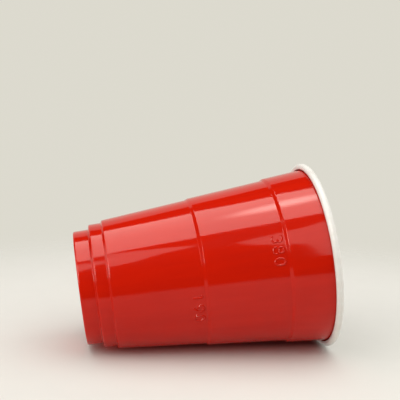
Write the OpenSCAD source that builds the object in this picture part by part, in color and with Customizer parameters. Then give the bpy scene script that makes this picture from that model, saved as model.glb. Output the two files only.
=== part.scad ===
// Disposable party cup, formed in one piece from a thin plastic sheet.
// It stands on its foot at z = 0, with its axis along +Z. The sheet's outer face is
// drawn as one path from the middle of the base to the end of the rolled lip, its inner
// face is that path moved inwards by the sheet's thickness, and the pair is revolved.

/* [Cup] */
// Height of the cup, from the table to the top of the lip
cup_h = 122; // [112:1:140]
// Diameter over the rolled lip
lip_d = 95; // [90:0.5:105]
// Thickness of the plastic sheet
sheet = 0.4; // [0.3:0.05:0.6]
// Radius of the sheet's bends, on the inside of each bend
bend_r = 0.4; // [0.2:0.05:0.6]

/* [Lip] */
// Diameter of the lip's roll, over the sheet
roll_d = 3.5; // [3.2:0.1:5]
// Angle through which the lip is rolled
roll_turn = 240; // [210:5:300]

/* [Foot] */
// Outer diameter of the foot where it stands
foot_d = 57; // [52:0.5:60]
// Width of the foot's sole, between its outer and inner walls
sole_w = 2.8; // [2.8:0.1:4]
// Height of the foot's wall, up to the ledge that carries the next cup of a stack
foot_h = 7.5; // [6.5:0.25:8.5]
// Draft of the foot's walls and of the ring above it
foot_draft = 1.5; // [0:0.5:3]
// Height of the base panel's rim above the table
panel_lift = 3.6; // [3:0.1:5]
// Rise of the base panel from its rim to its middle
panel_rise = 0.9; // [0:0.1:2]

/* [Ledges and steps] */
// Height over which each ledge slopes outwards
ledge_h = 0.6; // [0.4:0.1:1.5]
// Width of the ledge above the foot
foot_ledge = 2.3; // [1.2:0.1:2.8]
// Height of the top of the ring above the foot
ring_top = 14.2; // [13:0.1:16]
// Width of the ledge between that ring and the body
ring_ledge = 1.2; // [0.8:0.1:2]
// Height over which each fill step slopes outwards
step_h = 1.5; // [1:0.1:2]
// Height of the lower fill step
low_step_z = 58; // [40:0.5:70]
// Width of the lower fill step
low_step = 0.7; // [0.4:0.05:1.2]
// Height of the band under the lip, from the upper fill step to the top of the lip
band_h = 23.9; // [18:0.1:32]
// Width of the upper fill step
high_step = 0.9; // [0.4:0.05:1.4]

/* [Hidden] */
// Flat steps round the cup, in each bend, round the roll and across the base panel
round_fn = 180;
bend_steps = 6;
roll_steps = 36;
panel_steps = 10;

roll_r = roll_d / 2;
roll_centre = [lip_d / 2 - roll_r, cup_h - roll_r];

sole_r = foot_d / 2;
inner_foot_r = sole_r - sole_w;
panel_r = inner_foot_r - panel_lift * tan(foot_draft);
foot_top_r = sole_r + foot_h * tan(foot_draft);
ring_z = foot_h + ledge_h;
ring_r = foot_top_r + foot_ledge;
ring_top_r = ring_r + (ring_top - ring_z) * tan(foot_draft);
body_z = ring_top + ledge_h;
body_r = ring_top_r + ring_ledge;
high_step_z = cup_h - band_h;

// The three walls share one draft, at which the last of them runs into the roll
wall_out = roll_centre.x - body_r - low_step - high_step;
wall_up = roll_centre.y - body_z - 2 * step_h;
wall_draft = acos((roll_r - sheet) / norm([wall_out, wall_up])) - atan2(wall_up, wall_out);

low_step_r = body_r + (low_step_z - body_z) * tan(wall_draft);
low_wall_r = low_step_r + low_step;
high_step_r = low_wall_r + (high_step_z - low_step_z - step_h) * tan(wall_draft);
band_r = high_step_r + high_step;
roll_start = roll_centre + (roll_r - sheet) * [-cos(wall_draft), sin(wall_draft)];

function heading(a, b) = (b - a) / norm(b - a);
function left_of(v) = [-v.y, v.x];
function into(path, i) = heading(path[max(i, 1) - 1], path[max(i, 1)]);
function out_of(path, i) = into(path, min(i + 1, len(path) - 1));

// A path moved to its left by a distance, with its corners kept sharp
function moved(path, distance) = [
    for (i = [0 : len(path) - 1])
        let (across = left_of(into(path, i)) + left_of(out_of(path, i)))
            path[i] + across * 2 * distance / (across * across)
];

// Points of an arc that leaves a point along a heading, on the left of it for a positive radius
function arc(from, along, radius, angle, steps) = [
    for (k = [0 : steps])
        let (turned = sign(radius) * angle * k / steps)
            from + radius * (sin(turned) * along + (1 - cos(turned)) * left_of(along))
];

// One corner of a path as a bend, where left and right are the radii for its two ways of turning
function bend(path, i, left, right) =
    let (along = into(path, i), next = out_of(path, i))
        let (turn = atan2(left_of(along) * next, along * next))
            let (radius = turn > 0 ? left : right)
                arc(path[i] - along * radius * tan(abs(turn) / 2), along, sign(turn) * radius,
                    abs(turn), bend_steps);

// The base panel's dome, a parabola from the middle to just inside its rim
panel = [
    for (k = [0 : panel_steps - 1])
        [panel_r * k / panel_steps, panel_lift + panel_rise * (1 - pow(k / panel_steps, 2))]
];

// Sharp corners of the sheet's outer face, after the panel and up to the start of the roll
corners = [
    [panel_r, panel_lift],
    [inner_foot_r, 0],
    [sole_r, 0],
    [foot_top_r, foot_h],
    [ring_r, ring_z],
    [ring_top_r, ring_top],
    [body_r, body_z],
    [low_step_r, low_step_z],
    [low_wall_r, low_step_z + step_h],
    [high_step_r, high_step_z],
    [band_r, high_step_z + step_h],
    roll_start
];

outer_line = concat(panel, corners);
moved_line = moved(outer_line, sheet);
// The inner line starts on the cup's axis too
inner_line = [for (i = [0 : len(moved_line) - 1]) [i == 0 ? 0 : moved_line[i].x, moved_line[i].y]];

// One face of the sheet: the panel's points, each corner as a bend, then the roll
function face(line, left, right, roll) = concat(
    [for (i = [0 : len(panel) - 1]) line[i]],
    [for (i = [len(panel) : len(line) - 2]) each bend(line, i, left, right)],
    arc(line[len(line) - 1], into(line, len(line) - 1), -roll, roll_turn, roll_steps)
);

outer_face = face(outer_line, bend_r + sheet, bend_r, roll_r - sheet);
inner_face = face(inner_line, bend_r, bend_r + sheet, roll_r);
inner_back = [for (i = [len(inner_face) - 1 : -1 : 0]) inner_face[i]];

module cup() {
    color("crimson")
        rotate_extrude($fn = round_fn)
            polygon(concat(outer_face, inner_back));
}

cup();
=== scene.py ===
"""Plastic party cup, formed in one piece from a sheet that is red outside and white inside.

Each new piece is a surface worked out with numpy from the sizes in its property group.
"""
from math import atan2, cos, pi, radians, sin, tan

import bpy
import numpy as np
from bpy.props import (
    FloatProperty,
    FloatVectorProperty,
    IntProperty,
    PointerProperty,
    StringProperty,
)
from mathutils import Matrix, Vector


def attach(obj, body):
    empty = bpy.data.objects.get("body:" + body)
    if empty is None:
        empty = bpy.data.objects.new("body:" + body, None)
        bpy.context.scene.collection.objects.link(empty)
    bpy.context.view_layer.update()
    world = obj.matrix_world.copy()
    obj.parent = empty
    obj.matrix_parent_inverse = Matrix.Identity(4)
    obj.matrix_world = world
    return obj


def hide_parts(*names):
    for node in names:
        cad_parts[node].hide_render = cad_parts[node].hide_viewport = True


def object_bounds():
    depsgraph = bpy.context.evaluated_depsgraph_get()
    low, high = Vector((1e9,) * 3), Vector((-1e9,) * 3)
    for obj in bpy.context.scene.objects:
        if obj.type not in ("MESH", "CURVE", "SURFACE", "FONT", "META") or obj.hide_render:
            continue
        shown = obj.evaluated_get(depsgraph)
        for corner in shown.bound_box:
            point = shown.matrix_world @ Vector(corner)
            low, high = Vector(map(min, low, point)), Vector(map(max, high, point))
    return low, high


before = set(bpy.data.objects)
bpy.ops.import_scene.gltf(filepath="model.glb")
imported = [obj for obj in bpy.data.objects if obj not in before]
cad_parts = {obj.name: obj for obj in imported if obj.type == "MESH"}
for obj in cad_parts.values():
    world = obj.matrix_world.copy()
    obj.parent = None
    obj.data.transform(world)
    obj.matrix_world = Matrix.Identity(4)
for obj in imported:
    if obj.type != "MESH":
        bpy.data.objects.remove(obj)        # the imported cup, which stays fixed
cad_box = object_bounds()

bl_info = {
    "name": "Party Cup",
    "version": (1, 0, 0),
    "blender": (4, 5, 0),
    "location": "3D View > Sidebar > Party Cup",
    "description": "Adds a two-tone plastic party cup, its fill numbers and a plain studio",
    "category": "Add Mesh",
}

MM = 0.001
BODY = "root"
NODE = "cup"
CUP_TALL = cad_box[1].z - cad_box[0].z
LIP_WIDE = cad_box[1].x - cad_box[0].x


def length(name, description, default_mm):
    """A length property, whose default is given in millimetres."""
    return FloatProperty(
        name=name, description=description, default=default_mm * MM, unit="LENGTH", precision=5
    )


def angle(name, description, default_degrees):
    """An angle property, whose default is given in degrees."""
    return FloatProperty(
        name=name, description=description, default=radians(default_degrees), subtype="ANGLE"
    )


def colour(name, description, default):
    """A colour property, with linear red, green and blue."""
    return FloatVectorProperty(
        name=name, description=description, default=default, subtype="COLOR", min=0, max=1
    )


def amount(name, description, default):
    """A plain number from nought upwards."""
    return FloatProperty(name=name, description=description, default=default, min=0, precision=4)


def place(name, description, default_mm):
    """A point, whose default is given in millimetres."""
    return FloatVectorProperty(
        name=name, description=description, default=[MM * c for c in default_mm],
        subtype="TRANSLATION", unit="LENGTH", precision=5,
    )


class PARTYCUP_PG_sizes(bpy.types.PropertyGroup):
    """Sizes of the cup's section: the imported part's, but for a lip rolled 60 degrees further"""

    height: length("Height", "From the table to the top of the lip", CUP_TALL / MM)
    lip_d: length("Lip Diameter", "Diameter over the rolled lip", LIP_WIDE / MM)
    sheet: length("Sheet", "Thickness of the plastic sheet", 0.4)
    bend_r: length("Bend Radius", "Radius of the sheet's bends, inside each bend", 0.4)
    roll_d: length("Roll Diameter", "Diameter of the lip's roll, over the sheet", 3.5)
    roll_turn: angle("Roll Turn", "Angle through which the lip is rolled", 300)
    foot_d: length("Foot Diameter", "Outer diameter of the foot where it stands", 57)
    sole_w: length("Sole Width", "Width of the foot's sole, between its walls", 2.8)
    foot_h: length("Foot Height", "Height of the foot's wall", 7.5)
    foot_draft: angle("Foot Draft", "Draft of the foot's walls and of the ring above", 1.5)
    panel_lift: length("Panel Lift", "Height of the base panel's rim above the table", 3.6)
    panel_rise: length("Panel Rise", "Rise of the base panel from its rim to its middle", 0.9)
    ledge_h: length("Ledge Height", "Height over which each ledge slopes out", 0.6)
    step_h: length("Step Height", "Height over which each fill step slopes out", 1.5)
    foot_ledge: length("Foot Ledge", "Width of the ledge above the foot", 2.3)
    ring_top: length("Ring Top", "Height of the top of the ring above the foot", 14.2)
    ring_ledge: length("Ring Ledge", "Width of the ledge between the ring and the body", 1.2)
    low_step_z: length("Lower Step Height", "Height of the lower fill step", 58)
    low_step: length("Lower Step", "Width of the lower fill step", 0.7)
    band_h: length("Band Height", "From the upper fill step to the top of the lip", 23.9)
    high_step: length("Upper Step", "Width of the upper fill step", 0.9)
    around: IntProperty(name="Around", description="Columns of faces round the cup", default=256)


class PARTYCUP_PG_finish(bpy.types.PropertyGroup):
    """Colours and gloss of the two layers of the sheet"""

    red: colour("Red", "Outer layer of the sheet", (0.56, 0.0105, 0.002))
    deep_red: colour("Deep Red", "Outer layer where it was drawn thin", (0.52, 0.009, 0.0017))
    white: colour("White", "Inner layer of the sheet, also round the lip", (0.81, 0.80, 0.76))
    deep_white: colour("Deep White", "Inner layer where it was drawn thin", (0.77, 0.74, 0.69))
    red_gloss: amount("Red Roughness", "Roughness of the red layer", 0.06)
    white_gloss: amount("White Roughness", "Roughness of the white layer", 0.2)
    haze: amount("Haze", "How much the roughness varies over the sheet", 0.05)
    ripple: length("Ripple", "Depth of the sheet's slow ripples", 0.25)


class PARTYCUP_PG_numbers(bpy.types.PropertyGroup):
    """Fill numbers that stand in relief on the wall, below the two steps"""

    low_text: StringProperty(
        name="Lower Number", description="Millilitres up to the lower step", default="190"
    )
    high_text: StringProperty(
        name="Upper Number", description="Millilitres up to the upper step", default="380"
    )
    low_turn: angle("Lower Turn", "Direction of the lower number's middle round the cup", 59.4)
    high_turn: angle("Upper Turn", "Direction of the upper number's middle round the cup", 24.9)
    digit_h: length("Digit Height", "Height of the digits", 5.0)
    digit_w: length("Digit Width", "Width of each digit", 3.2)
    pitch: length("Pitch", "Distance from digit to digit", 5.4)
    drop: length("Drop", "Gap between a step and the digits' tops", 1.2)
    stroke: length("Stroke", "Width of the digits' strokes", 1.0)
    relief: length("Relief", "Height of the strokes above the wall", 0.42)


class PARTYCUP_PG_studio(bpy.types.PropertyGroup):
    """Camera, backdrop and lamps"""

    camera_at: place("Camera", "Where the camera stands", (359.2, 213.4, 11.4))
    camera_aim: place("Aim", "Point that the camera looks at", (20.87, -29.12, 66.0))
    camera_lean: angle("Lean", "Angle of the cup's axis above the picture's horizontal", 7.71)
    lens: amount("Lens", "Focal length in millimetres on a 36 mm sensor", 73.8)
    ground_turn: angle("Ground Direction", "Side of the cup on which it lies for the camera", 135)
    backdrop: colour("Backdrop", "Colour behind the cup", (0.72, 0.70, 0.62))
    floor: colour("Floor", "Colour of the floor and the ground", (0.72, 0.71, 0.67))
    ambient: amount("Ambient", "Level of the light from all round", 0.4)
    lamps: amount("Lamps", "Level of the lamps, of which one is the plain level", 1.0)


# ---- the section of the sheet ----


def left_of(v):
    """Vectors turned a quarter turn to the left."""
    return np.stack([-v[..., 1], v[..., 0]], axis=-1)


def headings(line):
    """Unit vector of each straight of a path."""
    steps = np.diff(line, axis=0)
    return steps / np.linalg.norm(steps, axis=1, keepdims=True)


def moved(line, distance):
    """The path moved to its left with its corners kept sharp.

    Each corner goes along the sum of its two straights' normals, by twice the distance over
    that sum's square, so that both straights move by the distance.
    """
    along = headings(line)
    across = left_of(np.vstack([along[:1], along])) + left_of(np.vstack([along, along[-1:]]))
    return line + across * 2 * distance / (across**2).sum(axis=1, keepdims=True)


def arc(start, along, radius, sweep, steps):
    """Points of an arc that leaves a point along a heading, to the left for a positive radius.

    A point is the start plus the radius times sine along the heading and one less cosine
    across it, as the sweep grows evenly.
    """
    turned = np.sign(radius) * sweep * np.linspace(0, 1, steps + 1)[:, None]
    return start + radius * (np.sin(turned) * along + (1 - np.cos(turned)) * left_of(along))


def bend(line, i, left, right):
    """One corner of a path as an arc, with its own radius for each way of turning."""
    along, after = headings(line[i - 1 : i + 2])
    turn = atan2(left_of(along) @ after, along @ after)
    radius = left if turn > 0 else right
    start = line[i] - along * radius * tan(abs(turn) / 2)
    return arc(start, along, np.sign(turn) * radius, abs(turn), BEND_STEPS)


# How far inside a straight's ends its first and last rows lie, the shortest straight that
# gets them, and the longest row
EASE = 0.08 * MM
SHORTEST_GAP = 4 * EASE
LONGEST_ROW = 8 * MM


def joined(runs):
    """Runs of points joined by straights, with a row just inside each straight's ends.

    These rows keep the smooth shading of a bend out of the flat wall beside it, and longer
    straights get rows between them that are no further apart than the longest row.
    """
    parts = runs[:1]
    for run, after in zip(runs, runs[1:]):
        gap = after[0] - run[-1]
        size = np.linalg.norm(gap)
        if size > SHORTEST_GAP:
            rows = int(np.ceil(size / LONGEST_ROW))
            inside = EASE / size
            parts.append(run[-1] + gap * np.linspace(inside, 1 - inside, rows + 1)[:, None])
        parts.append(after)
    return np.vstack(parts)


def sharp_line(s):
    """Corners of the sheet's outer face, from the middle of the base to the start of the roll."""
    roll_r = s.roll_d / 2
    centre = np.array([s.lip_d / 2 - roll_r, s.height - roll_r])
    draft = tan(s.foot_draft)
    sole_r = s.foot_d / 2
    inner_foot_r = sole_r - s.sole_w
    foot_top_r = sole_r + s.foot_h * draft
    ring_z = s.foot_h + s.ledge_h
    ring_r = foot_top_r + s.foot_ledge
    ring_top_r = ring_r + (s.ring_top - ring_z) * draft
    body_z = s.ring_top + s.ledge_h
    body_r = ring_top_r + s.ring_ledge
    high_z = s.height - s.band_h
    wall = centre - [body_r + s.low_step + s.high_step, body_z + 2 * s.step_h]
    wall_draft = np.arccos((roll_r - s.sheet) / np.linalg.norm(wall)) - atan2(wall[1], wall[0])
    low_r = body_r + (s.low_step_z - body_z) * tan(wall_draft)
    low_wall_r = low_r + s.low_step
    high_r = low_wall_r + (high_z - s.low_step_z - s.step_h) * tan(wall_draft)
    roll_start = centre + (roll_r - s.sheet) * np.array([-cos(wall_draft), sin(wall_draft)])
    return np.array([
        [inner_foot_r - s.panel_lift * draft, s.panel_lift],
        [inner_foot_r, 0],
        [sole_r, 0],
        [foot_top_r, s.foot_h],
        [ring_r, ring_z],
        [ring_top_r, s.ring_top],
        [body_r, body_z],
        [low_r, s.low_step_z],
        [low_wall_r, s.low_step_z + s.step_h],
        [high_r, high_z],
        [high_r + s.high_step, high_z + s.step_h],
        roll_start,
    ])


# Corners of that line between which the body's two lower walls run
BODY_EDGE, LOW_STEP, LOW_WALL, HIGH_STEP = 6, 7, 8, 9

PANEL_STEPS = 10
BEND_STEPS = 6
ROLL_STEPS = 36


def face_of_sheet(s, line, left, right, roll):
    """One face of the sheet: the base panel's dome, each corner as a bend, then the roll."""
    bends = [bend(line, i, left, right) for i in range(PANEL_STEPS, len(line) - 1)]
    end = arc(line[-1], headings(line)[-1], -roll, s.roll_turn, ROLL_STEPS)
    return np.vstack([line[:PANEL_STEPS], joined(bends + [end])])


def section(s):
    """The sheet's section as radius and height: its outer face, then its inner face back."""
    corners = sharp_line(s)
    out = np.arange(PANEL_STEPS) / PANEL_STEPS
    dome = np.stack([corners[0, 0] * out, s.panel_lift + s.panel_rise * (1 - out**2)], axis=1)
    outer = np.vstack([dome, corners])
    inner = moved(outer, s.sheet)
    inner[0, 0] = 0
    outer_face = face_of_sheet(s, outer, s.bend_r + s.sheet, s.bend_r, s.roll_d / 2 - s.sheet)
    inner_face = face_of_sheet(s, inner, s.bend_r, s.bend_r + s.sheet, s.roll_d / 2)
    return outer_face, inner_face[::-1]


# ---- meshes ----


def grid_faces(rows, columns, first=0, loops=False):
    """Faces between the rows of a grid that closes on itself round its columns.

    Where it loops, its last row joins its first as well.
    """
    j = np.arange(columns)
    i = np.arange(rows if loops else rows - 1)[:, None]
    low, high = i * columns, (i + 1) % rows * columns
    after = (j + 1) % columns
    corners = np.stack([low + j, low + after, high + after, high + j], axis=-1)
    return first + corners.reshape(-1, 4)


def end_fans(rows, columns, first=0):
    """Triangles from a grid's first and last rows to the two points that follow its own."""
    j = np.arange(columns)
    after = (j + 1) % columns
    last = (rows - 1) * columns
    near = np.stack([j, np.full(columns, rows * columns), after], axis=1)
    far = np.stack([last + j, last + after, np.full(columns, rows * columns + 1)], axis=1)
    return first + near, first + far


def new_mesh(name, points, quads, fans=()):
    """A mesh from arrays of points, four-sided faces and three-sided faces, shaded smooth."""
    faces = quads.tolist() + [f for fan in fans for f in fan.tolist()]
    mesh = bpy.data.meshes.new(name)
    mesh.from_pydata(points.tolist(), [], faces)
    mesh.polygons.foreach_set("use_smooth", np.ones(len(faces), dtype=bool))
    mesh.update()
    return mesh


def shown(name, mesh):
    """The mesh as an object of the scene, at the origin."""
    piece = bpy.data.objects.new(name, mesh)
    bpy.context.scene.collection.objects.link(piece)
    return piece


def revolved(name, profile, columns):
    """A closed surface of revolution whose profile starts and ends on the axis.

    A point is the profile's radius times cosine and sine of the angle round, at the
    profile's height. The two ends are single points, joined to their rows by fans.
    """
    turn = 2 * pi * np.arange(columns) / columns
    r, z = profile[1:-1, 0, None], profile[1:-1, 1, None]
    ring = np.stack([r * np.cos(turn), r * np.sin(turn), z + 0 * turn], axis=-1).reshape(-1, 3)
    poles = np.array([[0, 0, profile[0, 1]], [0, 0, profile[-1, 1]]])
    rows = len(profile) - 2
    points = np.vstack([ring, poles])
    return new_mesh(name, points, grid_faces(rows, columns), end_fans(rows, columns))


# ---- digits ----


def stroke_line(x0, y0, x1, y1, points=12):
    """A straight stroke, in parts of the digit's width and height."""
    return np.linspace([x0, y0], [x1, y1], points)


def stroke_arc(x, y, rx, ry, start, turn, points=28):
    """Part of an ellipse: its centre plus its radii times cosine and sine of the angle."""
    a = np.radians(start + turn * np.linspace(0, 1, points))
    return np.stack([x + rx * np.cos(a), y + ry * np.sin(a)], axis=1)


def digit_strokes(digit):
    """The strokes of one digit, each a path in a box one wide and one high."""
    top, low = (0.5, 0.74, 0.5, 0.26), (0.5, 0.27, 0.5, 0.27)
    return {
        "0": [stroke_arc(0.5, 0.5, 0.5, 0.5, 90, 360, 56)],
        "1": [stroke_line(0.15, 0.8, 0.5, 1), stroke_line(0.5, 1, 0.5, 0)],
        "2": [
            np.vstack([stroke_arc(0.5, 0.7, 0.48, 0.3, 165, -195), stroke_line(0.93, 0.56, 0, 0)]),
            stroke_line(0, 0, 1, 0),
        ],
        "3": [stroke_arc(*top, 160, -250), stroke_arc(*low, 90, -250)],
        "4": [
            stroke_line(0.72, 1, 0, 0.3, 16),
            stroke_line(0, 0.3, 1, 0.3),
            stroke_line(0.72, 1, 0.72, 0, 16),
        ],
        "5": [
            stroke_line(0.9, 1, 0.1, 1),
            stroke_line(0.1, 1, 0.05, 0.52),
            stroke_arc(0.45, 0.31, 0.5, 0.31, 125, -270),
        ],
        "6": [
            stroke_arc(0.5, 0.3, 0.5, 0.3, 90, 360, 48),
            stroke_arc(0.95, 0.3, 0.95, 0.7, 180, -75),
        ],
        "7": [stroke_line(0, 1, 1, 1), stroke_line(1, 1, 0.3, 0, 16)],
        "8": [stroke_arc(0.5, 0.75, 0.42, 0.25, 90, 360, 44), stroke_arc(*low, 90, 360, 48)],
        "9": [
            stroke_arc(0.5, 0.7, 0.5, 0.3, 90, 360, 48),
            stroke_arc(0.05, 0.7, 0.95, 0.7, 0, -75),
        ],
    }[digit]


# Points across a bead and along it in each width, the fewest along it, and how deep its
# edges and its root are sunk in the wall
BEAD_ACROSS = 9
BEAD_ALONG = 8
BEAD_LEAST = 6
BEAD_SINK = 0.012 * MM
BEAD_ROOT = 0.16 * MM


def resampled(path, gap):
    """Evenly spaced points of a path, about the gap apart, and how far along it each lies."""
    run = np.concatenate([[0], np.cumsum(np.linalg.norm(np.diff(path, axis=0), axis=1))])
    even = np.linspace(0, run[-1], max(BEAD_LEAST, int(run[-1] / gap)))
    return np.stack([np.interp(even, run, path[:, k]) for k in (0, 1)], axis=1), even


def bead(path, width, relief):
    """A rounded bead carried along a path on the flat: across, up and out of the wall.

    Its height is the relief times half of one plus cosine, from edge to edge, and its root
    is sunk in the wall. Its width closes at both ends as a half circle does, down to one
    point at each end, and a path that comes back to its start makes a loop without ends.
    """
    points, run = resampled(path, width / BEAD_ALONG)
    loops = np.allclose(path[0], path[-1])
    if loops:
        along = np.roll(points[:-1], -1, axis=0) - np.roll(points[:-1], 1, axis=0)
        points, open_up = points[:-1], np.ones((len(points) - 1, 1))
    else:
        along = np.gradient(points, axis=0)
        to_end = np.clip(np.minimum(run, run[-1] - run) / (width / 2), 0, 1)
        open_up = np.sqrt(1 - (1 - to_end) ** 2)[:, None]
    along /= np.linalg.norm(along, axis=1, keepdims=True)
    side = np.linspace(1, -1, BEAD_ACROSS)
    rise = relief * (1 + np.cos(pi * side)) / 2 * open_up - BEAD_SINK
    across = width / 2 * side * open_up
    root = np.full((len(points), 2), -BEAD_ROOT)
    out = np.hstack([rise, root])
    across = np.hstack([across, across[:, -1:], across[:, :1]])
    flat = points[:, None, :] + across[..., None] * left_of(along)[:, None, :]
    grid = np.concatenate([flat, out[..., None]], axis=-1)
    if loops:
        return grid, grid[0, :0]
    ends = np.column_stack([points[[0, -1]], np.full(2, -BEAD_ROOT / 2)])
    return grid[1:-1], ends


def number_strokes(text, digit_w, digit_h, pitch):
    """The strokes of a number, centred across and standing on the line."""
    strokes = []
    for k, digit in enumerate(text):
        left = (k - (len(text) - 1) / 2) * pitch - digit_w / 2
        strokes += [path * [digit_w, digit_h] + [left, 0] for path in digit_strokes(digit)]
    return strokes


def on_wall(beads, foot_of_wall, top_of_wall, turn, base):
    """Beads laid on a tapering wall.

    The way across, over the wall's radius at the beads' base, becomes an angle round the
    cup; the way up runs along the slope, and the way out is along the wall's normal.
    """
    slope = top_of_wall - foot_of_wall
    up = slope / np.linalg.norm(slope)
    normal = np.array([up[1], -up[0]])
    start = foot_of_wall + slope * (base - foot_of_wall[1]) / slope[1]
    at = start + beads[..., 1, None] * up + beads[..., 2, None] * normal
    around = turn + beads[..., 0] / start[0]
    return np.stack([at[..., 0] * np.cos(around), at[..., 0] * np.sin(around), at[..., 1]], axis=-1)


# ---- shader nodes ----


class Nodes:
    """Adds nodes to a tree, with values or links for their inputs."""

    def __init__(self, tree):
        self.tree = tree

    def give(self, socket, value):
        """Links a socket to an input, or sets the input's own value."""
        if isinstance(value, bpy.types.NodeSocket):
            self.tree.links.new(value, socket)
        else:
            socket.default_value = value

    def add(self, kind, settings=None, **inputs):
        """A new node with settings of its own, whose inputs are given by name."""
        node = self.tree.nodes.new(kind)
        for key, value in (settings or {}).items():
            setattr(node, key, value)
        for key, value in inputs.items():
            wanted = key.replace("_", " ").lower()
            self.give(next(s for s in node.inputs if s.enabled and s.name.lower() == wanted), value)
        return node

    def in_order(self, kind, settings, *values):
        """The outputs of a new node whose inputs are given in their order."""
        node = self.add(kind, settings)
        for socket, value in zip(node.inputs, values):
            self.give(socket, value)
        return node.outputs

    def maths(self, operation, *values):
        """The result of a Math node."""
        return self.in_order("ShaderNodeMath", {"operation": operation}, *values)[0]

    def vectors(self, operation, output, *values):
        """One output of a Vector Math node."""
        return self.in_order("ShaderNodeVectorMath", {"operation": operation}, *values)[output]

    def step(self, value, start, end, low=0.0, high=1.0, kind="SMOOTHSTEP"):
        """A level that changes smoothly from low to high as a value goes from start to end."""
        return self.add(
            "ShaderNodeMapRange", {"interpolation_type": kind},
            Value=value, From_Min=start, From_Max=end, To_Min=low, To_Max=high,
        ).outputs["Result"]

    def blend(self, factor, a, b):
        """A colour between two others."""
        node = self.add("ShaderNodeMix", {"data_type": "RGBA"}, Factor=factor, A=a, B=b)
        return next(o for o in node.outputs if o.type == "RGBA")

    def noise(self, where, scale, detail, roughness=0.5):
        """Smooth noise, from nought to one."""
        return self.add(
            "ShaderNodeTexNoise", Vector=where, Scale=scale, Detail=detail, Roughness=roughness
        ).outputs["Fac"]


def emptied(owner):
    """The nodes of a new material or world, without those that it starts with."""
    owner.use_nodes = True
    owner.node_tree.nodes.clear()
    return Nodes(owner.node_tree)


# Scales per metre of the patterns in the formed sheet, and how they are mixed
STREAK_SCALES = (220.0, 220.0, 9.0)
STREAK_ROUGHNESS = 0.6
PATCH_SCALE = 38.0
RIPPLE_SCALE = 34.0
PEEL_SCALE = 900.0
STREAK_SHARE = 0.6
DEEP_FROM, DEEP_AT = 0.35, 0.65
PEEL_SHARE = 0.004


def formed_sheet_group():
    """The finish that forming leaves on a plastic sheet, as a node group.

    Streaks run up the wall, where the sheet was drawn; a slow haze changes the gloss; and
    slow ripples with a little fine texture give the height.
    """
    tree = bpy.data.node_groups.new("formed_sheet", "ShaderNodeTree")
    for name, way, kind in (
        ("Colour", "INPUT", "Color"),
        ("Deep Colour", "INPUT", "Color"),
        ("Gloss", "INPUT", "Float"),
        ("Haze", "INPUT", "Float"),
        ("Colour", "OUTPUT", "Color"),
        ("Roughness", "OUTPUT", "Float"),
        ("Height", "OUTPUT", "Float"),
    ):
        tree.interface.new_socket(name, in_out=way, socket_type=f"NodeSocket{kind}")
    n = Nodes(tree)
    given = n.add("NodeGroupInput").outputs
    where = n.add("ShaderNodeTexCoord").outputs["Object"]
    drawn = n.add("ShaderNodeMapping", Vector=where, Scale=STREAK_SCALES).outputs["Vector"]
    streaks = n.noise(drawn, 1.0, detail=3.0, roughness=STREAK_ROUGHNESS)
    patches = n.noise(where, PATCH_SCALE, detail=2.0)
    both = n.maths("MULTIPLY", streaks, STREAK_SHARE)
    both = n.maths("MULTIPLY_ADD", patches, 1 - STREAK_SHARE, both)
    deep = n.step(both, DEEP_FROM, DEEP_AT)
    ripples = n.noise(where, RIPPLE_SCALE, detail=0.0)
    peel = n.noise(where, PEEL_SCALE, detail=1.0)
    n.add(
        "NodeGroupOutput",
        Colour=n.blend(deep, given["Colour"], given["Deep Colour"]),
        Roughness=n.maths("MULTIPLY_ADD", deep, given["Haze"], given["Gloss"]),
        Height=n.maths("MULTIPLY_ADD", peel, PEEL_SHARE, ripples),
    )
    return tree


PLASTIC_IOR = 1.45
PLASTIC_SHEEN = 0.3


def sheet_material(name, group, finish, tint, deep, gloss):
    """Glossy formed plastic, from the node group for its finish."""
    material = bpy.data.materials.new(name)
    n = emptied(material)
    formed = n.add(
        "ShaderNodeGroup", {"node_tree": group},
        Colour=(*tint, 1), Deep_Colour=(*deep, 1), Gloss=gloss, Haze=finish.haze,
    ).outputs
    bump = n.add("ShaderNodeBump", Strength=1.0, Distance=finish.ripple, Height=formed["Height"])
    shader = n.add(
        "ShaderNodeBsdfPrincipled",
        Base_Color=formed["Colour"],
        Roughness=formed["Roughness"],
        Normal=bump.outputs["Normal"],
        IOR=PLASTIC_IOR,
        Specular_IOR_Level=PLASTIC_SHEEN,
    )
    n.add("ShaderNodeOutputMaterial", Surface=shader.outputs["BSDF"])
    return material


def sheet_materials():
    """The red and the white material, made once."""
    made = [bpy.data.materials.get(name) for name in ("red_layer", "white_layer")]
    if all(made):
        return made
    f = bpy.context.scene.party_cup_finish
    group = formed_sheet_group()
    return [
        sheet_material("red_layer", group, f, f.red, f.deep_red, f.red_gloss),
        sheet_material("white_layer", group, f, f.white, f.deep_white, f.white_gloss),
    ]


# ---- the stage ----


def unit(v):
    """The vector at a length of one."""
    return v / np.linalg.norm(v)


def turned_to(right, up, back, at):
    """A matrix from three axes and a place."""
    made = Matrix.Identity(4)
    for k, axis in enumerate((right, up, back, at)):
        for row in range(3):
            made[row][k] = axis[row]
    return made


def lying_ground(s, turn):
    """The plane that the cup lies on: its middle and its along, front and up axes.

    It touches the lower edge of the body and the round of the lip, so its slope is that of
    the line between them, plus the angle whose sine is the roll's radius over their distance.
    """
    edge = sharp_line(s)[BODY_EDGE]
    roll_r = s.roll_d / 2
    gap = np.array([s.lip_d / 2 - roll_r, s.height - roll_r]) - edge
    lean = atan2(gap[0], gap[1]) + np.arcsin(roll_r / np.linalg.norm(gap))
    out = np.array([cos(turn), sin(turn), 0])
    along = out * sin(lean) + np.array([0, 0, cos(lean)])
    up = np.array([0, 0, sin(lean)]) - out * cos(lean)
    middle = out * edge[0] + [0, 0, edge[1]] + along * np.linalg.norm(gap) / 2
    return middle, along, np.cross(along, up), up


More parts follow.
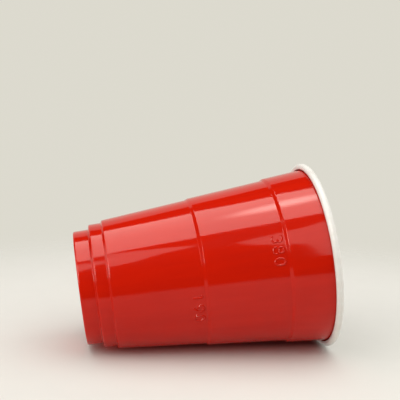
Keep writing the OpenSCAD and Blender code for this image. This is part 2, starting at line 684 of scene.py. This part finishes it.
def flat_sheet(name, corners, material):
    """A flat sheet of the stage from its corners, which run anticlockwise seen from its front.

    A four-sided sheet gets a UV map from nought to one, which a glow with dim edges reads.
    """
    mesh = bpy.data.meshes.new(name)
    mesh.from_pydata(np.asarray(corners).tolist(), [], [tuple(range(len(corners)))])
    mesh.materials.append(material)
    if len(corners) == 4:
        mesh.uv_layers.new(name="sheet").uv.foreach_set("vector", [0, 0, 1, 0, 1, 1, 0, 1])
    piece = shown(name, mesh)
    return piece


def square(middle, across, over, half):
    """Corners of a square that faces across times over."""
    signs = np.array([(-1, -1), (1, -1), (1, 1), (-1, 1)]) * half
    return middle + signs @ np.array([across, over])


def only_reflected(piece):
    """Hides a lamp or a card from all but reflections."""
    piece.visible_camera = False
    piece.visible_shadow = False
    piece.visible_transmission = False
    piece.visible_diffuse = False


# The painted shadow on the ground, along the cup and to its front: its depth, then how far back its
# middle lies, how far out it is full and how far out it is gone
PAINTED_SHADOW_DEPTH = 0.85
PAINTED_SHADOW_BACK = (0, 8 * MM)
PAINTED_SHADOW_FULL = (47 * MM, 8 * MM)
PAINTED_SHADOW_GONE = (59 * MM, 22 * MM)


def painted_shadow_of_cup(n, where, middle, axes):
    """How deep the painted shadow on the ground is: a smooth step of the way along times one of
    that across.
    """
    offset = n.vectors("SUBTRACT", "Vector", where, middle)
    shade = PAINTED_SHADOW_DEPTH
    for axis, back, full, gone in zip(axes, PAINTED_SHADOW_BACK, PAINTED_SHADOW_FULL, PAINTED_SHADOW_GONE):
        way = n.maths("ADD", n.vectors("DOT_PRODUCT", "Value", offset, axis), back)
        shade = n.maths("MULTIPLY", n.step(n.maths("ABSOLUTE", way), full, gone, 1.0, 0.0), shade)
    return shade


BLACK = (0, 0, 0, 1)
GRAIN_SCALE = 60.0
GRAIN_TONE = 0.97
# How close to the cup light comes through the ground
LIT_GAP = 16 * MM


def fading_material(name, tint, middle, fade, axes=None):
    """A pale matt surface that is seen only from its front and fades out round a point.

    The lamps shine through it, unless it has the axes of a cup that lies on it, along and
    to its front. Light then comes through right beside the cup only, so that the side that
    lies down isn't black, and a shadow is painted on the surface, black along the line on which the
    cup lies.
    """
    material = bpy.data.materials.new(name)
    n = emptied(material)
    where = n.add("ShaderNodeTexCoord").outputs["Object"]
    shows = n.step(n.vectors("DISTANCE", "Value", where, middle), *fade, 1.0, 0.0)
    behind = n.add("ShaderNodeNewGeometry").outputs["Backfacing"]
    shows = n.maths("MULTIPLY", shows, n.maths("SUBTRACT", 1.0, behind))
    grain = n.noise(where, GRAIN_SCALE, detail=4.0)
    paint = n.blend(grain, (*tint, 1), (*[GRAIN_TONE * c for c in tint], 1))
    path = n.add("ShaderNodeLightPath").outputs
    if axes is None:
        stops = n.maths("SUBTRACT", 1.0, path["Is Shadow Ray"])
    else:
        stops = n.maths("MAXIMUM", n.step(path["Ray Length"], 0.0, LIT_GAP), path["Is Glossy Ray"])
        # Painted shadow: the ground's colour goes towards black along the line on which the cup
        # lies
        paint = n.blend(painted_shadow_of_cup(n, where, middle, axes), paint, BLACK)
    clear = n.add("ShaderNodeBsdfTransparent").outputs[0]
    matt = n.add("ShaderNodeBsdfDiffuse", Color=paint).outputs[0]
    shows = n.maths("MULTIPLY", shows, stops)
    mixed = n.in_order("ShaderNodeMixShader", None, shows, clear, matt)
    n.add("ShaderNodeOutputMaterial", Surface=mixed[0])
    return material


CARD_BLACK = (0.01, 0.01, 0.01, 1)


def dark_material():
    """Plain black card."""
    material = bpy.data.materials.new("dark_card")
    n = emptied(material)
    card = n.add("ShaderNodeBsdfDiffuse", Color=CARD_BLACK)
    n.add("ShaderNodeOutputMaterial", Surface=card.outputs[0])
    return material


SKY_TINT = (1, 0.99, 0.97, 1)
WARM_LIGHT = (1, 0.98, 0.94)
WARM_GLOW = (1, 0.9, 0.82, 1)
UV_HALF = 0.5


def glow_material(name, level, edge_level):
    """An even glow, or one that changes smoothly from the sheet's middle to its edges."""
    material = bpy.data.materials.new(name)
    n = emptied(material)
    strength = level
    if edge_level != level:
        where = n.add("ShaderNodeTexCoord").outputs["UV"]
        out = n.vectors("DISTANCE", "Value", where, (UV_HALF, UV_HALF, 0))
        strength = n.step(out, 0.0, UV_HALF, level, edge_level, "SMOOTHERSTEP")
    glow = n.add("ShaderNodeEmission", Color=WARM_GLOW, Strength=strength)
    n.add("ShaderNodeOutputMaterial", Surface=glow.outputs[0])
    return material


def softbox(name, at, aim, side, size, radiance):
    """A rectangular lamp of an even radiance, whose first size lies along a direction."""
    back = unit(at - aim)
    over = unit(np.cross(back, side))
    lamp = bpy.data.lights.new(name, "AREA")
    lamp.shape = "RECTANGLE"
    lamp.size, lamp.size_y = size
    lamp.energy = radiance * pi * size[0] * size[1]
    lamp.color = WARM_LIGHT
    holder = bpy.data.objects.new(name, lamp)
    bpy.context.scene.collection.objects.link(holder)
    holder.matrix_world = turned_to(np.cross(over, back), over, back, at)
    holder.visible_camera = False
    holder.visible_glossy = False


def plain_world(backdrop, ambient):
    """A world that shows the backdrop's colour and lights the cup from all round."""
    world = bpy.data.worlds.new("studio")
    n = emptied(world)
    path = n.add("ShaderNodeLightPath").outputs
    seen = n.maths("MAXIMUM", path["Is Camera Ray"], path["Is Glossy Ray"])
    seen = n.maths("MAXIMUM", seen, path["Is Transmission Ray"])
    light_sky = n.add("ShaderNodeBackground", Color=SKY_TINT, Strength=ambient).outputs[0]
    shown_sky = n.add("ShaderNodeBackground", Color=(*backdrop, 1), Strength=1.0).outputs[0]
    mixed = n.in_order("ShaderNodeMixShader", None, seen, light_sky, shown_sky)
    n.add("ShaderNodeOutputWorld", Surface=mixed[0])
    bpy.context.scene.world = world


SENSOR_WIDTH = 36
CLIP_NEAR, CLIP_FAR = 0.01, 20


def add_camera(studio):
    """The camera, rolled so that the cup's axis lies across the picture."""
    at, aim = np.array(studio.camera_at), np.array(studio.camera_aim)
    back = unit(at - aim)
    axis = unit(np.array([0, 0, 1]) - back * back[2])
    above = np.cross(back, axis)
    lean = studio.camera_lean
    right = axis * cos(lean) - above * sin(lean)
    up = axis * sin(lean) + above * cos(lean)
    data = bpy.data.cameras.new("camera")
    data.lens = studio.lens
    data.sensor_width = SENSOR_WIDTH
    data.clip_start, data.clip_end = CLIP_NEAR, CLIP_FAR
    camera = bpy.data.objects.new("camera", data)
    bpy.context.scene.collection.objects.link(camera)
    camera.matrix_world = turned_to(right, up, back, at)
    bpy.context.scene.camera = camera


# ---- operators ----


class PARTYCUP_OT_cup(bpy.types.Operator):
    """Adds the cup: one sheet, red outside and white inside and round the rolled lip"""

    bl_idname = "party_cup.cup"
    bl_label = "Cup"

    def execute(self, context):
        s = context.scene.party_cup_sizes
        outer, inner = section(s)
        if not (np.isfinite(outer).all() and np.isfinite(inner).all()):
            raise ValueError("these sizes don't give the sheet a section")
        mesh = revolved("cup_sheet", np.vstack([outer, inner]), s.around)
        for material in sheet_materials():
            mesh.materials.append(material)
        # Faces are in rows from the middle of the outer face, and the two fans come last
        quads = len(mesh.polygons) - 2 * s.around
        layer = np.zeros(len(mesh.polygons), dtype=np.int32)
        layer[(len(outer) - 2) * s.around : quads] = 1
        layer[-s.around :] = 1
        mesh.polygons.foreach_set("material_index", layer)
        piece = shown("cup_sheet", mesh)
        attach(piece, BODY)
        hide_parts(NODE)
        return {"FINISHED"}


class PARTYCUP_OT_numbers(bpy.types.Operator):
    """Adds the fill numbers, which stand in relief on the wall below each step"""

    bl_idname = "party_cup.numbers"
    bl_label = "Fill Numbers"

    def execute(self, context):
        s = context.scene.party_cup_sizes
        n = context.scene.party_cup_numbers
        line = sharp_line(s)
        points, quads, fans, count = [], [], [], 0
        for text, turn, foot, top in (
            (n.low_text, n.low_turn, line[BODY_EDGE], line[LOW_STEP]),
            (n.high_text, n.high_turn, line[LOW_WALL], line[HIGH_STEP]),
        ):
            base = top[1] - n.drop - n.digit_h
            for path in number_strokes(text, n.digit_w, n.digit_h, n.pitch):
                grid, ends = [
                    on_wall(part, foot, top, turn, base) for part in bead(path, n.stroke, n.relief)
                ]
                rows, columns = grid.shape[:2]
                quads.append(grid_faces(rows, columns, count, loops=not len(ends)))
                if len(ends):
                    fans += end_fans(rows, columns, count)
                points += [grid.reshape(-1, 3), ends]
                count += rows * columns + len(ends)
        mesh = new_mesh("fill_numbers", np.vstack(points), np.vstack(quads), fans)
        mesh.materials.append(sheet_materials()[0])
        piece = shown("fill_numbers", mesh)
        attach(piece, BODY)
        return {"FINISHED"}


# Corners of the lamps and the dark cards, in millimetres along the lying cup towards its
# mouth, to its front and upwards, from the middle of the cup. A lamp's two levels are those
# at its middle and at its edges.
LAMPS = (
    ("overhead", 5.9, 5.9,
     [(-270, -385, 600), (220, -66, 600), (220, 300, 600), (-270, 270, 600)]),
    ("ceiling_lamp", 18.0, 5.9,
     [(-105, -90, 590), (115, -90, 590), (115, 105, 590), (-105, 105, 590)]),
    ("left_window", 3.0, 3.0,
     [(-260, 240, 582), (-219, 279, 549), (-197, 295, 536), (-154, 330, 506), (-115, 372, 471),
      (-149, 391, 455), (-185, 449, 407), (-205, 457, 399), (-260, 480, 380)]),
    ("right_window", 2.7, 2.7,
     [(-64, 430, 424), (-24, 401, 446), (20, 385, 460), (60, 330, 505), (110, 330, 505),
      (110, 760, 145), (83, 752, 152), (61, 673, 218), (49, 621, 262), (34, 569, 306),
      (5, 530, 338), (-28, 490, 372)]),
    ("side_window", 22.0, 22.0,
     [(-546, 546, 214), (-398, 662, 214), (-265, 441, 620), (-364, 364, 620)]),
    ("left_glow", 5.0, 5.0,
     [(-880, -250, 20), (-880, 280, 20), (-880, 280, 800), (-880, -250, 800)]),
)
CARDS = (
    ("front_card", [(-1200, 750, -135), (1200, 750, -135), (1200, 750, 850), (-1200, 750, 850)]),
    ("high_card", [(-1200, -900, 850), (1200, -900, 850), (1200, 750, 850), (-1200, 750, 850)]),
    ("left_card", [(-900, -900, 100), (-900, 750, 100), (-900, 750, 850), (-900, -900, 850)]),
)
# Softboxes: level, place in the same directions, which of them the first side follows, and
# the two sides in metres
SOFTBOXES = (
    ("sky", 1.55, (0, 200, 900), 0, (1.6, 1.4)),
    ("front_fill", 0.15, (-100, 800, 700), 0, (1.4, 0.7)),
    ("left_fill", 1.8, (-900, 300, 350), 0, (0.8, 0.8)),
    ("mouth_fill", 1.3, (750, 0, 110), 1, (0.7, 0.7)),
)
# The ground and the floor: half their width, and how far from its middle each starts to fade
# and is gone, in metres; how far they lie below the cup; and the slope of the floor's dip
GROUND_HALF, GROUND_FADE = 0.8, (0.16, 0.34)
FLOOR_HALF, FLOOR_FADE = 0.5, (0.07, 0.16)
BELOW = 0.02 * MM
FLOOR_DIP = 0.031


class PARTYCUP_OT_stage(bpy.types.Operator):
    """Adds the camera, the floor, the ground that the cup lies on for the camera, and lamps"""

    bl_idname = "party_cup.stage"
    bl_label = "Stage"

    def execute(self, context):
        s = context.scene.party_cup_sizes
        studio = context.scene.party_cup_studio
        add_camera(studio)
        plain_world(studio.backdrop, studio.ambient)
        middle, along, front, up = lying_ground(s, studio.ground_turn)

        # The ground carries a painted shadow along the line on which the cup lies
        flat_sheet(
            "ground", square(middle - up * BELOW, along, -front, GROUND_HALF),
            fading_material("ground_paint", studio.floor, middle, GROUND_FADE, (along, front)),
        )
        # The floor dips away from the camera by a hair, so that the camera is just below it
        side = unit(np.array(studio.camera_at) * [1, 1, 0])
        across = np.cross([0, 0, 1], side)
        floor_line = unit(side + FLOOR_DIP * np.array([0, 0, 1]))
        floor = flat_sheet(
            "floor", square(side * s.foot_d / 2 - [0, 0, BELOW], floor_line, across, FLOOR_HALF),
            fading_material("floor_paint", studio.floor, (0, 0, 0), FLOOR_FADE),
        )
        floor.visible_glossy = False
        floor.visible_diffuse = False

        heart = np.array([0, 0, s.height / 2])
        axes = np.array([along, front, up])

        def from_heart(way):
            """Places given in millimetres along the lying cup, to its front and upwards."""
            return heart + MM * np.array(way) @ axes

        for name, level, edge_level, corners in LAMPS:
            lamp = flat_sheet(
                name, from_heart(corners),
                glow_material(name, level * studio.lamps, edge_level * studio.lamps),
            )
            only_reflected(lamp)
        card = dark_material()
        for name, corners in CARDS:
            only_reflected(flat_sheet(name, from_heart(corners), card))
        for name, level, at, follows, size in SOFTBOXES:
            softbox(name, from_heart(at), heart, axes[follows], size, level * studio.lamps)

        context.scene.view_settings.view_transform = "Standard"
        return {"FINISHED"}


class PARTYCUP_PT_panel(bpy.types.Panel):
    """Lists the cup's pieces and their sizes"""

    bl_label = "Party Cup"
    bl_idname = "PARTYCUP_PT_panel"
    bl_space_type = "VIEW_3D"
    bl_region_type = "UI"
    bl_category = "Party Cup"

    def draw(self, context):
        layout = self.layout
        layout.use_property_split = True
        for operator in OPERATORS:
            layout.operator(operator.bl_idname)
        for name, group in GROUPS.items():
            box = layout.box()
            settings = getattr(context.scene, name)
            for key in group.__annotations__:
                box.prop(settings, key)


OPERATORS = (PARTYCUP_OT_cup, PARTYCUP_OT_numbers, PARTYCUP_OT_stage)
GROUPS = {
    "party_cup_sizes": PARTYCUP_PG_sizes,
    "party_cup_finish": PARTYCUP_PG_finish,
    "party_cup_numbers": PARTYCUP_PG_numbers,
    "party_cup_studio": PARTYCUP_PG_studio,
}


def register():
    """Registers the classes and hangs the property groups on the scene."""
    for name, group in GROUPS.items():
        bpy.utils.register_class(group)
        setattr(bpy.types.Scene, name, PointerProperty(type=group))
    for operator in OPERATORS:
        bpy.utils.register_class(operator)
    bpy.utils.register_class(PARTYCUP_PT_panel)


def unregister():
    """Takes everything out again, in the opposite order."""
    bpy.utils.unregister_class(PARTYCUP_PT_panel)
    for operator in reversed(OPERATORS):
        bpy.utils.unregister_class(operator)
    for name, group in reversed(GROUPS.items()):
        delattr(bpy.types.Scene, name)
        bpy.utils.unregister_class(group)


def main():
    """Builds every piece and the stage."""
    register()
    bpy.ops.party_cup.cup()
    bpy.ops.party_cup.numbers()
    bpy.ops.party_cup.stage()


if __name__ == "__main__":
    main()
